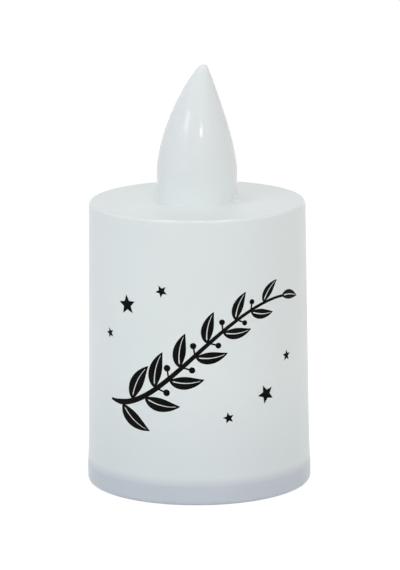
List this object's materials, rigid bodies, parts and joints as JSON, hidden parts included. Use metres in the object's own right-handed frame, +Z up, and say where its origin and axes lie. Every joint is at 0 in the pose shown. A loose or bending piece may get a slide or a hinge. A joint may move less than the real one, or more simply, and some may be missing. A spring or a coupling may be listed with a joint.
{
  "type": "led candle",
  "caption": "Hollow white candle body with a leaning translucent flame over an LED, on a snap-in base with button cells behind a hinged door and a slide switch.",
  "frame": {"origin": "centre of the foot ring, on the surface that the candle stands on", "axes": "+Z up along the candle's axis, -Y to the front, +X to the right, which is the way the flame leans"},
  "size_m": [0.046, 0.046, 0.0864],
  "materials": {
    "shell_white": "satin",
    "flame_translucent": "gloss",
    "inner_white": "satin",
    "led_epoxy": "gloss",
    "tinned_metal": "satin",
    "sleeve_black": "satin",
    "wire_red": "satin",
    "wire_black": "satin",
    "base_white": "satin",
    "cell_steel": "polished",
    "board_green": "satin",
    "resistor_tan": "gloss",
    "screw_zinc": "satin",
    "switch_steel": "satin",
    "terminal_brown": "matte",
    "switch_black": "satin",
    "wiper_brass": "satin",
    "print_ink": "satin"
  },
  "bodies": {
    "candle": {"candle_body": "shell_white", "flame": "flame_translucent", "flame_retainer": "inner_white", "led_lens": "led_epoxy", "led_leads": "tinned_metal", "lead_sleeves": "sleeve_black", "led_wire_red": "wire_red", "led_wire_black": "wire_black", "base_cap": "base_white", "button_cell_1": "cell_steel", "button_cell_2": "cell_steel", "button_cell_3": "cell_steel", "cell_spring": "tinned_metal", "negative_contact": "tinned_metal", "positive_contact": "tinned_metal", "battery_wire_red": "wire_red", "battery_wire_black": "wire_black", "circuit_board": "board_green", "resistor": "resistor_tan", "board_screws": "screw_zinc", "switch_frame": "switch_steel", "terminal_plate": "terminal_brown", "switch_pins": "tinned_metal"},
    "switch": {"switch_button": "switch_black", "switch_lever": "switch_black", "switch_wiper": "wiper_brass"},
    "door": {"battery_door": "base_white"}
  },
  "joints": [
    {"name": "switch_slide", "type": "slide", "parent": "candle", "child": "switch", "axis": [1, 0, 0], "range_m": [0, 0.002]},
    {"name": "door_hinge", "type": "hinge", "parent": "candle", "child": "door", "pos_m": [-0.01105, -0.005, 0.0016], "axis": [0, 1, 0], "range_deg": [0, 70]}
  ]
}
